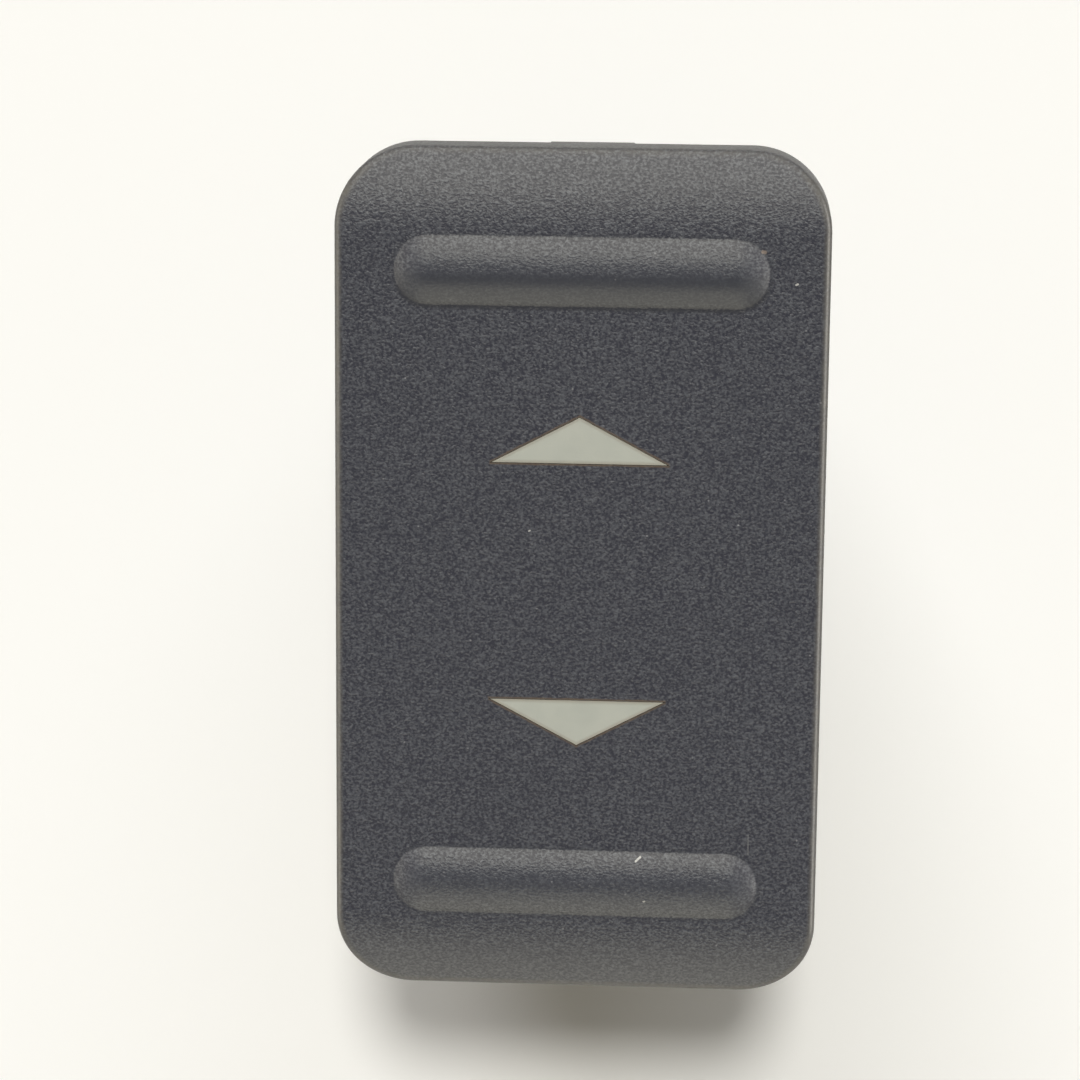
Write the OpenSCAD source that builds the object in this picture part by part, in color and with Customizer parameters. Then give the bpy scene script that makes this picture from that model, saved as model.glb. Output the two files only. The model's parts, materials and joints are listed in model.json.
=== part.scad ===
// Power window switch: a sprung rocker over two see-saw contact blades,
// with lit arrows, a clip-in housing and a tab connector at the rear.
// X runs across the cap, Y towards the up arrow, Z out of the panel.
// Zero is the middle of the seat on the panel's face. Lengths are millimetres.

/* [Rocker cap] */
// Width of the cap
cap_w = 28; // [27:0.5:34]
// Length of the cap along the arrows
cap_l = 49.5; // [48:0.5:60]
// Corner radius of the cap, seen from the front
cap_corner_r = 4.5; // [3:0.25:6]
// Depth of the cap from its flat face to its rim
cap_depth = 4.4; // [4:0.1:7]
// Wall of the cap's skirt
cap_wall = 1.6; // [1.2:0.1:1.8]
// Thickness of the cap's face
cap_roof = 1.8; // [1.4:0.1:2.2]
// Length of the flat middle of the face
flat_l = 39.5; // [34:0.5:40]
// Fall of the face from the flat to each end
crown_drop = 1.45; // [1:0.05:2]
// Fillet along the edges of the face
edge_r = 0.5; // [0.3:0.05:0.7]

/* [Finger bars] */
// Length of each finger bar
bar_l = 21.2; // [16:0.2:22]
// Width of each finger bar
bar_w = 3.9; // [3:0.1:5]
// Height of each finger bar over the face
bar_h = 0.65; // [0.4:0.05:1.2]
// Distance from the middle of the face to each bar
bar_y = 17.9; // [16:0.1:19]

/* [Arrows] */
// Width of each arrow
arrow_w = 10; // [7:0.2:11]
// Height of each arrow
arrow_h = 2.65; // [2:0.05:3.5]
// Distance from the middle of the face to each arrow's base
arrow_y = 6.95; // [6:0.05:8]
// Gap between an arrow and the edge of its window
arrow_gap = 0.03; // [0.02:0.01:0.06]
// Thickness of the light guide behind the face
guide_t = 1.2; // [0.8:0.1:1.5]
// Margin of the light guide round each arrow
guide_margin = 1.6; // [1.2:0.1:2]
// Length of the light posts under the guide
post_l = 8; // [5:0.5:8.5]
// Width of each light post across the switch
post_w = 3; // [2:0.1:3.4]
// Thickness of each light post along the switch
post_t = 2.4; // [1.6:0.1:3]
// Radius of the pegs that hold the light guide
peg_r = 0.6; // [0.4:0.05:0.7]

/* [Rocker pivot] */
// Tilt of the rocker to each side in degrees
tilt = 6; // [4:0.5:7]
// Height of the pivot over the flange
pivot_rise = 1.6; // [1:0.1:2]
// Radius of the pivot pins
pivot_r = 1.8; // [1.4:0.1:2]
// Radial play of the pivot pins in the housing
pivot_play = 0.05; // [0.03:0.01:0.08]
// Radius of the ears that carry the pivot pins
ear_r = 3; // [2.6:0.1:3.5]
// Thickness of the ears
ear_t = 1.3; // [1:0.1:1.5]
// Thickness of the splash walls under the cap
splash_t = 1; // [0.8:0.1:1.2]
// Height of the splash walls under the cap
splash_h = 6; // [4.5:0.5:7]

/* [Housing] */
// Thickness of the flange that lies on the panel
flange_t = 1.4; // [1:0.1:2]
// Distance of the flange's edge inside the cap's outline
flange_inset = 0.75; // [0.6:0.05:1]
// Chamfer along the outer edges of flange, body and shroud
edge_ease = 0.25; // [0.15:0.05:0.35]
// Length of the housing's body
body_l = 37; // [35:0.5:38]
// Depth of the housing's body behind the panel
body_depth = 14; // [13:0.5:18]
// Wall of the housing's body
body_wall = 1.3; // [1.1:0.1:1.5]
// Corner radius of the housing's body
body_corner_r = 2; // [1.6:0.1:3]
// Height of the locating ribs on the body's sides
rib_h = 0.3; // [0.2:0.05:0.4]
// Width of the locating ribs and of the gussets
rib_w = 1.2; // [0.8:0.1:1.6]
// Distance of the locating ribs from the middle
rib_y = 14; // [13:0.5:15]
// Distance of the gussets from the middle
gusset_x = 6.5; // [5:0.5:8]
// Depth of the gussets under the flange
gusset_h = 4; // [3:0.5:6]

/* [Panel latches] */
// Width of each latch
latch_w = 5.4; // [4:0.2:7]
// Thickness of each latch arm
latch_t = 1.2; // [0.9:0.1:1.4]
// Length of each latch arm behind the panel
latch_l = 9; // [8:0.5:12]
// Depth of the barb beyond its arm
latch_reach = 1.55; // [1.2:0.05:1.8]
// Distance of the arm inside the flange's end
latch_inset = 1.55; // [1.45:0.05:1.8]
// Space for the panel between flange and barb
panel_gap = 3; // [2.2:0.1:4]
// Height of the flat on the barb's tip
latch_flat = 0.7; // [0.4:0.1:1]
// Thickness of the latch at its lower end
latch_end_t = 0.6; // [0.4:0.1:0.8]

/* [Plungers] */
// Distance of each pole from the middle of the switch
pole_x = 5; // [4.8:0.1:5.4]
// Radius of the plunger's stem
plunger_r = 1.5; // [1.3:0.05:1.6]
// Radial play of the plunger in its tube
plunger_play = 0.05; // [0.03:0.01:0.08]
// Wall of the plunger's tube
tube_wall = 0.85; // [0.7:0.05:0.95]
// Radius of the plunger's round tip
tip_r = 1; // [0.8:0.05:1.2]
// Length of the plunger's thin nose
nose_l = 1.8; // [1.6:0.1:2.2]
// Length of the plunger's stem
stem_l = 4.4; // [4:0.1:5]
// Length of the stem that shows below its tube
stem_out = 1.5; // [1.2:0.1:1.8]
// Radius of the pilot that centres the spring
pilot_r = 0.75; // [0.6:0.05:0.8]
// Height of the pilot that centres the spring
pilot_h = 0.9; // [0.6:0.1:1.5]
// Radius of the spring's wire
wire_r = 0.2; // [0.15:0.01:0.24]
// Number of turns of the spring
spring_turns = 8; // [5:1:9]

/* [Contact blades] */
// Degrees that a blade turns for each degree of the rocker
blade_ratio = 1.1; // [1:0.05:1.2]
// Width of each blade
blade_w = 4; // [3.4:0.1:4.4]
// Thickness of each blade
blade_t = 0.6; // [0.5:0.05:0.8]
// Length of each blade
blade_l = 18; // [17.6:0.2:19]
// Length of the trough in the middle of a blade
trough_l = 6; // [5:0.2:7]
// Depth of the trough
trough_drop = 0.9; // [0.8:0.05:1.1]
// Radius of the bead that a blade rocks on
bead_r = 0.7; // [0.6:0.05:0.8]
// Height of the bead under the trough
bead_h = 0.35; // [0.3:0.05:0.45]
// Radial play of the bead in its groove
bead_play = 0.08; // [0.05:0.01:0.1]
// Depth of the fulcrum's edge below the blade's axis
fulcrum_drop = 0.42; // [0.38:0.02:0.5]
// Gap between plunger tip and trough at rest
tip_gap = 0.25; // [0.2:0.05:0.4]
// Distance of the contacts from the middle
contact_y = 7; // [6.6:0.1:7.3]
// Radius of the contact rivets
contact_r = 1.5; // [1.2:0.1:1.6]
// Height of the contact rivets' heads
contact_h = 0.6; // [0.4:0.05:0.8]
// Radius of the domes on the moving contacts
dome_r = 4; // [3:0.25:6]
// Gap left at a closed contact
contact_clear = 0.1; // [0.08:0.01:0.15]
// Radius of the contact rivets' shanks
shank_r = 0.6; // [0.5:0.05:0.7]
// Radius of the rivets' set ends
upset_r = 0.9; // [0.8:0.05:1.1]
// Height of the rivets' set ends
upset_h = 0.3; // [0.2:0.05:0.4]

/* [Terminals] */
// Thickness of the terminal strip
strip_t = 0.8; // [0.6:0.05:1]
// Width of the contact tabs
tab_w = 2.8; // [2.2:0.1:3]
// Width of the lamp tabs
lamp_tab_w = 1.5; // [1.2:0.1:1.8]
// Distance between neighbouring tabs
tab_pitch = 5; // [4.8:0.1:5.4]
// Length of the tabs in the connector
tab_l = 7.6; // [6:0.2:8]
// Chamfer on the ends of the tabs
tab_chamfer = 0.5; // [0.3:0.05:0.6]
// Thickness of the cheeks beside a blade
cheek_t = 0.5; // [0.4:0.05:0.6]
// Gap between a blade and the cheeks
cheek_gap = 0.15; // [0.1:0.01:0.2]
// Half the width of the fulcrum
fulcrum_half = 1.3; // [1.1:0.05:1.4]

/* [Terminal base] */
// Height of the block that plugs into the housing
plug_h = 4.8; // [4.5:0.1:6]
// Thickness of the lip under the housing
lip_t = 1.4; // [1:0.1:2]
// Depth of the connector's shroud
shroud_depth = 12.6; // [12.4:0.2:16]
// Wall of the connector's shroud
shroud_wall = 1.4; // [1:0.1:1.8]
// Space between the tabs and the shroud
shroud_space = 2; // [1.6:0.1:2.4]
// Corner radius of the shroud
shroud_corner_r = 1.8; // [1.6:0.1:2.4]
// Width of the keyways in the shroud's mouth
key_w = 2; // [1.4:0.1:2.6]
// Depth of the keyways in the shroud's mouth
key_depth = 6; // [4:0.5:8]
// Length of the ramp that holds a plug
ramp_l = 3.6; // [3:0.2:5]
// Height of the ramp that holds a plug
ramp_h = 0.9; // [0.6:0.1:1.2]
// Width of the snap hooks
snap_w = 5; // [4:0.2:6]
// Height of the snap hooks
snap_h = 1.8; // [1.4:0.1:2.2]
// Distance of the snap hooks from the middle
snap_y = 8.5; // [7:0.5:9.5]
// Distance of the hooks' tips inside the body's sides
snap_inset = 0.4; // [0.2:0.05:0.5]
// Thickness of the barriers between the contacts
barrier_t = 0.5; // [0.4:0.05:0.8]
// Height of the barriers over the contact floor
barrier_h = 1.1; // [0.9:0.1:1.3]
// Length of the ledges under the lamp board
ledge_l = 2.4; // [1.6:0.2:3]

/* [Lighting] */
// Width of the lamp board
board_w = 3.6; // [3.2:0.1:4]
// Length of the lamp board
board_l = 24; // [22:0.5:26]
// Thickness of the lamp board
board_t = 1; // [0.8:0.1:1.2]
// Height of the lamp board over the contact floor
board_rise = 0.7; // [0.6:0.05:1]
// Thickness of the lamp terminals' links and pins
lamp_wire = 0.6; // [0.5:0.05:0.6]
// Distance of the lamp pins from the board's edges
lamp_pin_inset = 0.9; // [0.7:0.05:1.1]
// Width of each light
led_w = 2.8; // [2:0.1:3]
// Length of each light
led_l = 3.2; // [2.6:0.1:3.5]
// Height of each light
led_h = 1.9; // [1.2:0.1:2]
// Radius of each light's cup at its mouth
led_cup_r = 1.2; // [0.8:0.05:1.25]
// Radius of each light's cup at its floor
led_cup_floor_r = 0.9; // [0.5:0.05:0.9]
// Depth of each light's cup
led_cup_depth = 0.9; // [0.5:0.1:1]
// Length of the resistor
resistor_l = 2; // [1.6:0.1:2.4]
// Width of the resistor
resistor_w = 1.25; // [1:0.05:1.4]
// Height of the resistor
resistor_h = 0.6; // [0.4:0.05:0.8]
// Length of the resistor's metal ends
resistor_end = 0.4; // [0.3:0.05:0.5]
// Step from the resistor's body up to its ends
resistor_step = 0.06; // [0.04:0.01:0.1]

/* [Clearances] */
// Gap between the pressed cap's rim and the flange
rim_clear = 0.4; // [0.3:0.05:0.8]
// Gap between the cap's skirt and the housing's collar
side_gap = 0.5; // [0.4:0.05:0.7]
// Gap between the pressed cap's face and the collar
collar_clear = 0.5; // [0.4:0.05:0.7]
// Gap between the ears and the housing's walls
ear_gap = 0.2; // [0.15:0.05:0.3]
// Gap between the splash walls and the housing's end walls
splash_gap = 0.8; // [0.7:0.05:1.2]
// Gap round pieces that plug into each other
fit_gap = 0.1; // [0.05:0.01:0.15]
// Gap round pins, tabs and rivets in their holes
slot_gap = 0.03; // [0.02:0.01:0.05]

/* [Hidden] */
$fn = 48;

// Overlap of cuts past the faces they open
cut = 0.5;
left = -1;
right = 1;
up = 1;
down = -1;

// Heights of the cap, from the panel seat up
pivot_z = flange_t + pivot_rise;
rim_z = flange_t + cap_l / 2 * sin(tilt) + rim_clear;
face_z = rim_z + cap_depth;
roof_z = face_z - cap_roof;

// Arc of the crowned ends, tangent to the flat
crown_run = (cap_l - flat_l) / 2;
crown_r = (crown_run ^ 2 + crown_drop ^ 2) / (2 * crown_drop);
crown_z = face_z - crown_r;
fillet_y = cap_l / 2 - edge_r;
fillet_z = crown_z + sqrt((crown_r - edge_r) ^ 2 - (crown_run - edge_r) ^ 2);

// Section of a finger bar: an arc over the face
bar_arc_r = (bar_w ^ 2 / 4 + bar_h ^ 2) / (2 * bar_h);

// Outlines of flange, body and plug
flange_w = cap_w - 2 * flange_inset;
flange_l = cap_l - 2 * flange_inset;
body_w = cap_w - 2 * (cap_wall + side_gap);
inner_w = body_w - 2 * body_wall;
inner_l = body_l - 2 * body_wall;
inner_corner_r = body_corner_r - body_wall;
plug_w = inner_w - 2 * fit_gap;
plug_l = inner_l - 2 * fit_gap;
collar_z = roof_z - collar_clear;
collar_end_z = collar_z - body_l / 2 * tan(tilt);

// Contact set, from the base's contact floor up
blade_tilt = tilt * blade_ratio;
floor_z = plug_h - body_depth;
pad_z = floor_z + strip_t;
fixed_z = pad_z + contact_h;
contact_throw = contact_y * sin(blade_tilt) + dome_r * (1 - cos(blade_tilt));
moving_z = fixed_z + contact_throw + contact_clear;
arm_z = moving_z + contact_h;
trough_angle = atan(2 * trough_drop / trough_l);
valley_z = arm_z + blade_t - trough_drop;
valley_under_z = valley_z - blade_t;
blade_axis_z = valley_under_z - bead_h + bead_r;
fulcrum_z = blade_axis_z - fulcrum_drop;

// Plunger, from its tip up
tip_z = valley_z + (tip_r + tip_gap) / cos(trough_angle);
nose_z = tip_z + nose_l;
tube_z = nose_z + stem_out;
stem_z = nose_z + stem_l;
bore_r = plunger_r + plunger_play;
tube_r = bore_r + tube_wall;
coil_r = (pilot_r + bore_r) / 2;

// Ears and pins of the rocker
ear_x = inner_w / 2 - ear_gap - ear_t;
pin_x = body_w / 2 - ear_gap;
web_t = ear_t;
web_z = tube_z + ear_t;

// Terminals and connector
pad_w = blade_w;
tab_x = pole_x - pad_w / 2 + strip_t / 2;
base_z = -body_depth - lip_t;
tab_tip_z = base_z - tab_l;
mouth_z = base_z - shroud_depth;
outer_tab_y = 1.5 * tab_pitch;
inner_tab_y = 0.5 * tab_pitch;
shroud_w = 2 * (tab_x + strip_t / 2 + shroud_space);
shroud_l = 2 * (outer_tab_y + tab_w / 2 + shroud_space);
snap_z = floor_z - plug_h / 2;
snap_x = body_w / 2 - snap_inset;
barrier_y = (outer_tab_y + inner_tab_y) / 2;

// Lighting
board_z = floor_z + board_rise;
board_top_z = board_z + board_t;
led_y = arrow_y + arrow_h / 3;
lamp_pin_x = board_w / 2 - lamp_pin_inset;
spring_sides = 6;
spring_steps = 14;

// Two dimensional outlines and helpers
module rounded_rect(w, l, r) {
    square([w - 2 * r, l], center = true);
    square([w, l - 2 * r], center = true);
    for (x = [-1, 1], y = [-1, 1])
        translate([x * (w / 2 - r), y * (l / 2 - r)]) circle(r);
}

module slab(w, l, r, low, high) {
    translate([0, 0, low]) linear_extrude(high - low) rounded_rect(w, l, r);
}

// Half of a section drawn in X and Z, with chamfered outer corners
module eased_half(reach, low, high) {
    polygon([
        [0, low], [reach - edge_ease, low], [reach, low + edge_ease],
        [reach, high - edge_ease], [reach - edge_ease, high], [0, high]
    ]);
}

module eased_section(reach, low, high) {
    eased_half(reach, low, high);
    mirror([1, 0]) eased_half(reach, low, high);
}

// Slab with a chamfer round its lower and its upper edge
module eased_slab(w, l, r, low, high) {
    extrude_x(w - 2 * r) eased_section(l / 2, low, high);
    extrude_y(l - 2 * r) eased_section(w / 2, low, high);
    for (x = [-1, 1], y = [-1, 1])
        translate([x * (w / 2 - r), y * (l / 2 - r), 0])
            rotate_extrude() eased_half(r, low, high);
}

module block(x, y, z) {
    translate([x[0], y[0], z[0]]) cube([x[1] - x[0], y[1] - y[0], z[1] - z[0]]);
}

// Extrudes a profile drawn in Y and Z evenly to both sides of X = 0
module extrude_x(w) {
    rotate([90, 0, 90]) linear_extrude(w, center = true) children();
}

// Extrudes a profile drawn in X and Z evenly to both sides of Y = 0
module extrude_y(l) {
    rotate([90, 0, 0]) linear_extrude(l, center = true) children();
}

module both_ends() {
    children();
    mirror([0, 1, 0]) children();
}

module both_sides() {
    children();
    mirror([1, 0, 0]) children();
}

// Rocker cap
module crown_profile(half_l, arc_r, low) {
    high = crown_z + arc_r;
    translate([-flat_l / 2, low]) square([flat_l, high - low]);
    for (end = [-1, 1])
        intersection() {
            translate([end * flat_l / 2, crown_z]) circle(arc_r);
            translate([end > 0 ? flat_l / 2 : -half_l, low])
                square([half_l - flat_l / 2, high - low]);
        }
}

// What a fillet takes off the corner between crown and end wall
module end_fillet_cut() {
    away = [fillet_y - flat_l / 2, fillet_z - crown_z];
    reach = away * cap_depth / norm(away);
    centre = [fillet_y, fillet_z];
    difference() {
        polygon([
            centre, centre + reach, centre + [cap_depth, reach[1]], centre + [cap_depth, 0]
        ]);
        translate(centre) circle(edge_r);
    }
}

module end_profile() {
    difference() {
        crown_profile(cap_l / 2, crown_r, rim_z);
        end_fillet_cut();
        mirror([1, 0]) end_fillet_cut();
    }
}

module side_profile() {
    translate([-cap_w / 2, rim_z]) square([cap_w, cap_depth - edge_r]);
    translate([edge_r - cap_w / 2, rim_z]) square([cap_w - 2 * edge_r, cap_depth]);
    for (side = [-1, 1])
        translate([side * (cap_w / 2 - edge_r), face_z - edge_r]) circle(edge_r);
}

module arrow_outline(gap) {
    slope = atan(2 * arrow_h / arrow_w);
    widen = gap / tan(slope / 2);
    polygon([
        [-arrow_w / 2 - widen, arrow_y - gap],
        [arrow_w / 2 + widen, arrow_y - gap],
        [0, arrow_y + arrow_h + gap / cos(slope)]
    ]);
}

module cap_shell() {
    difference() {
        intersection() {
            slab(cap_w, cap_l, cap_corner_r, rim_z, face_z);
            extrude_x(cap_w) end_profile();
            extrude_y(cap_l) side_profile();
        }
        intersection() {
            slab(cap_w - 2 * cap_wall, cap_l - 2 * cap_wall, cap_corner_r - cap_wall,
                rim_z - cut, face_z);
            extrude_x(cap_w) crown_profile(cap_l / 2, crown_r - cap_roof, rim_z - cut);
        }
        both_ends()
            translate([0, 0, roof_z - cut])
                linear_extrude(cap_roof + 2 * cut) arrow_outline(arrow_gap);
    }
}

module finger_bar() {
    half_straight = (bar_l - bar_w) / 2;
    intersection() {
        translate([0, bar_y, face_z + bar_h - bar_arc_r]) {
            extrude_x(2 * half_straight) circle(bar_arc_r);
            both_sides() translate([half_straight, 0, 0]) sphere(bar_arc_r);
        }
        block([-bar_l, bar_l], [0, cap_l], [face_z - cap_roof / 2, face_z + bar_h]);
    }
}

module pivot_ear() {
    translate([ear_x + ear_t / 2, 0, 0])
        extrude_x(ear_t) {
            translate([0, pivot_z]) circle(ear_r);
            translate([-ear_r, pivot_z]) square([2 * ear_r, roof_z + cut - pivot_z]);
        }
    translate([ear_x, 0, pivot_z]) rotate([0, 90, 0]) cylinder(pin_x - ear_x, r = pivot_r);
}

// Tubes for the plungers, tied to each other and to the ears by a web
module plunger_tubes() {
    difference() {
        union() {
            both_sides() {
                translate([pole_x, 0, tube_z]) cylinder(roof_z + cut - tube_z, r = tube_r);
                block([pole_x, ear_x + cut], [-web_t / 2, web_t / 2], [pivot_z, roof_z + cut]);
            }
            block([-pole_x, pole_x], [-web_t / 2, web_t / 2],
                [web_z, roof_z - guide_t - 2 * fit_gap]);
        }
        both_sides()
            translate([pole_x, 0, tube_z - cut]) cylinder(roof_z - tube_z + cut, r = bore_r);
    }
}

// Wall that hangs inside the collar's end and keeps spills off the contacts
module splash_wall() {
    outer_y = inner_l / 2 - splash_gap;
    half_w = inner_w / 2 - splash_gap;
    block([-half_w, half_w], [outer_y - splash_t, outer_y], [roof_z - splash_h, roof_z + cut]);
}

module at_pegs() {
    both_ends()
        both_sides()
            translate([
                arrow_w / 2, arrow_y + arrow_h + guide_margin - 2 * peg_r, 0
            ]) children();
}

module rocker_cap() {
    color("#2c2c2f") {
        cap_shell();
        both_ends() {
            finger_bar();
            splash_wall();
        }
        both_sides() pivot_ear();
        plunger_tubes();
        at_pegs() translate([0, 0, roof_z - guide_t]) cylinder(guide_t + cut, r = peg_r);
    }
}

// Light guide with an arrow boss and a light post at each end
module arrow_light_guide() {
    pad_half = arrow_w / 2 + guide_margin;
    neck_half = pole_x - tube_r - fit_gap;
    color("#d8dcd2") {
        difference() {
            translate([0, 0, roof_z - guide_t])
                linear_extrude(guide_t) {
                    both_ends()
                        translate([-pad_half, arrow_y - guide_margin])
                            square([2 * pad_half, arrow_h + 2 * guide_margin]);
                    square([2 * neck_half, 2 * arrow_y], center = true);
                }
            at_pegs()
                translate([0, 0, roof_z - guide_t - cut])
                    cylinder(guide_t + 2 * cut, r = peg_r + slot_gap);
        }
        both_ends() {
            translate([0, 0, roof_z - guide_t])
                linear_extrude(guide_t + cap_roof) arrow_outline(0);
            block([-post_w / 2, post_w / 2], [led_y - post_t / 2, led_y + post_t / 2],
                [roof_z - guide_t - post_l, roof_z - guide_t / 2]);
        }
    }
}

// Housing
module collar_profile() {
    half = body_l / 2 + cut;
    polygon([
        [-half, -body_depth], [half, -body_depth],
        [half, collar_end_z], [0, collar_z], [-half, collar_end_z]
    ]);
}

// Groove that guides a pivot pin down the inner wall to its hole
module pin_lead_in() {
    extrude_y(2 * pivot_r)
        polygon([
            [inner_w / 2 - cut, pivot_z], [inner_w / 2, pivot_z],
            [inner_w / 2 + body_wall / 2, collar_z + cut], [inner_w / 2 - cut, collar_z + cut]
        ]);
}

// Latch seen from the front, with chamfered corners at its tip
module latch_plan(tip_y) {
    half_w = latch_w / 2;
    near_tip = half_w - edge_ease - cut;
    polygon([
        [-half_w, 0], [half_w, 0], [half_w, tip_y - edge_ease],
        [near_tip, tip_y + cut], [-near_tip, tip_y + cut], [-half_w, tip_y - edge_ease]
    ]);
}

module panel_latch() {
    arm_y = flange_l / 2 - latch_inset;
    tip_y = arm_y + latch_reach;
    inner_y = arm_y - latch_t;
    lead_z = panel_gap + latch_flat;
    intersection() {
        extrude_x(2 * latch_w)
            polygon([
                [inner_y, flange_t / 2], [arm_y, flange_t / 2],
                [arm_y, -panel_gap], [tip_y, -panel_gap], [tip_y, -lead_z],
                [arm_y, -latch_l], [arm_y - latch_end_t, -latch_l], [inner_y, -panel_gap]
            ]);
        translate([0, 0, -latch_l - cut])
            linear_extrude(latch_l + flange_t + cut) latch_plan(tip_y);
    }
}

module gusset() {
    reach = flange_l / 2 - latch_inset - latch_t - body_l / 2;
    wall_y = body_l / 2 - body_wall / 2;
    translate([gusset_x, 0, 0])
        extrude_x(rib_w)
            polygon([
                [wall_y, flange_t / 2], [wall_y + reach, flange_t / 2],
                [wall_y + reach, 0], [wall_y, -gusset_h]
            ]);
}

module side_rib() {
    block([body_w / 2 - rib_h, body_w / 2 + rib_h], [rib_y - rib_w / 2, rib_y + rib_w / 2],
        [lip_t - body_depth, flange_t / 2]);
}

module snap_window() {
    block([inner_w / 2 - cut, body_w / 2 + cut],
        [snap_y - snap_w / 2 - fit_gap, snap_y + snap_w / 2 + fit_gap],
        [snap_z - snap_h / 2 - fit_gap, snap_z + snap_h / 2 + fit_gap]);
}

module housing() {
    color("#232326")
        difference() {
            union() {
                intersection() {
                    eased_slab(body_w, body_l, body_corner_r, -body_depth, collar_z + cut);
                    extrude_x(body_w) collar_profile();
                }
                eased_slab(flange_w, flange_l, cap_corner_r - flange_inset, 0, flange_t);
                both_ends() {
                    panel_latch();
                    both_sides() {
                        gusset();
                        side_rib();
                    }
                }
            }
            slab(inner_w, inner_l, inner_corner_r, -body_depth - cut, collar_z + cut);
            translate([0, 0, pivot_z])
                rotate([0, 90, 0])
                    cylinder(body_w + 2 * cut, r = pivot_r + pivot_play, center = true);
            both_sides() {
                pin_lead_in();
                both_ends() snap_window();
            }
        }
}

// Terminal base with the connector's shroud
module snap_hook() {
    translate([0, snap_y, 0])
        extrude_y(snap_w)
            polygon([
                [plug_w / 2 - cut, snap_z - snap_h / 2],
                [snap_x, snap_z - snap_h / 2],
                [snap_x, snap_z],
                [plug_w / 2, snap_z + snap_h / 2],
                [plug_w / 2 - cut, snap_z + snap_h / 2]
            ]);
}

// Slot through the base for a tab at x, y
module tab_slot(x, y, w) {
    block([x - strip_t / 2 - slot_gap, x + strip_t / 2 + slot_gap],
        [y - w / 2 - slot_gap, y + w / 2 + slot_gap], [base_z - cut, floor_z + cut]);
}

module tab_slots() {
    for (side = [left, right]) {
        for (end = [up, down]) tab_slot(side * tab_x, end * outer_tab_y, tab_w);
        tab_slot(side * tab_x, -side * inner_tab_y, tab_w);
        tab_slot(side * tab_x, side * inner_tab_y, lamp_tab_w);
    }
}

// Hollow that keeps the wall even at each end of the plug
module plug_core() {
    inner_y = board_l / 2 + fit_gap;
    block([-plug_w / 2 + body_wall, plug_w / 2 - body_wall], [inner_y, plug_l / 2 - body_wall],
        [lip_t - body_depth, floor_z + cut]);
}

module shroud() {
    difference() {
        eased_slab(shroud_w + 2 * shroud_wall, shroud_l + 2 * shroud_wall, shroud_corner_r,
            mouth_z, base_z + lip_t / 2);
        slab(shroud_w, shroud_l, shroud_corner_r - shroud_wall, mouth_z - cut, base_z);
        both_ends()
            translate([0, outer_tab_y, 0])
                block([shroud_w / 2 - cut, shroud_w / 2 + shroud_wall + cut],
                    [-key_w / 2, key_w / 2], [mouth_z - cut, mouth_z + key_depth]);
    }
}

// Ramp on the shroud that holds a plug
module plug_ramp() {
    wall_x = shroud_w / 2 + shroud_wall;
    inner_x = wall_x - shroud_wall / 2;
    high = mouth_z + shroud_depth / 2;
    low = high - ramp_l;
    mirror([1, 0, 0])
        extrude_y(snap_w)
            polygon([
                [inner_x, high], [wall_x + ramp_h, high], [wall_x + ramp_h, high - ramp_h],
                [wall_x, low], [inner_x, low]
            ]);
}

module terminal_base() {
    color("#2b2b2e")
        difference() {
            union() {
                slab(plug_w, plug_l, inner_corner_r, -body_depth - lip_t / 2, floor_z);
                eased_slab(body_w, body_l, body_corner_r, base_z, -body_depth);
                shroud();
                plug_ramp();
                both_sides() both_ends() snap_hook();
                both_ends() {
                    block([-board_w / 2, board_w / 2],
                        [board_l / 2 - ledge_l, board_l / 2], [floor_z - cut, board_z]);
                    both_sides()
                        block([pole_x - pad_w / 2, pole_x + pad_w / 2],
                            [barrier_y - barrier_t / 2, barrier_y + barrier_t / 2],
                            [floor_z - cut, floor_z + barrier_h]);
                }
            }
            tab_slots();
            both_ends() plug_core();
        }
}

// Plungers and their springs
module plunger(side) {
    color("#e6e2d6")
        translate([side * pole_x, 0, 0]) {
            translate([0, 0, tip_z]) sphere(tip_r);
            translate([0, 0, tip_z]) cylinder(nose_l + cut, r = tip_r);
            translate([0, 0, nose_z]) cylinder(stem_l, r = plunger_r);
            translate([0, 0, stem_z - cut]) cylinder(pilot_h + cut, r = pilot_r);
        }
}

// One ring of the spring's wire at a turn of t
function wire_ring(t, low, high) = [
    for (i = [0 : spring_sides - 1])
        let (a = 360 * i / spring_sides, out = coil_r + wire_r * cos(a))
        [out * cos(360 * t), out * sin(360 * t),
            low + (high - low) * t / spring_turns + wire_r * sin(a)]
];

module plunger_spring(side) {
    n = spring_sides;
    steps = spring_turns * spring_steps;
    low = stem_z + wire_r;
    high = roof_z - wire_r;
    points = [for (k = [0 : steps]) each wire_ring(k / spring_steps, low, high)];
    sides = [
        for (k = [0 : steps - 1], i = [0 : n - 1])
            let (a = n * k + i, b = n * k + (i + 1) % n) [a, a + n, b + n, b]
    ];
    ends = [[for (i = [0 : n - 1]) i], [for (i = [n - 1 : -1 : 0]) n * steps + i]];
    color("#b9bcc0")
        translate([side * pole_x, 0, 0]) polyhedron(points, concat(sides, ends));
}

// Contact blades and rivets
module blade_profile() {
    top = arm_z + blade_t;
    half = blade_l / 2;
    bend = trough_l / 2;
    polygon([
        [-half, top], [-bend, top], [0, valley_z], [bend, top], [half, top],
        [half, arm_z], [bend, arm_z], [0, valley_under_z], [-bend, arm_z], [-half, arm_z]
    ]);
}

// Rounded bead under the trough, on the blade's axis
module blade_bead() {
    low = blade_axis_z - bead_r;
    intersection() {
        translate([0, 0, blade_axis_z]) extrude_x(blade_w) circle(bead_r);
        block([-blade_w, blade_w], [-bead_r, bead_r], [low, valley_under_z + blade_t / 3]);
    }
}

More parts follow.
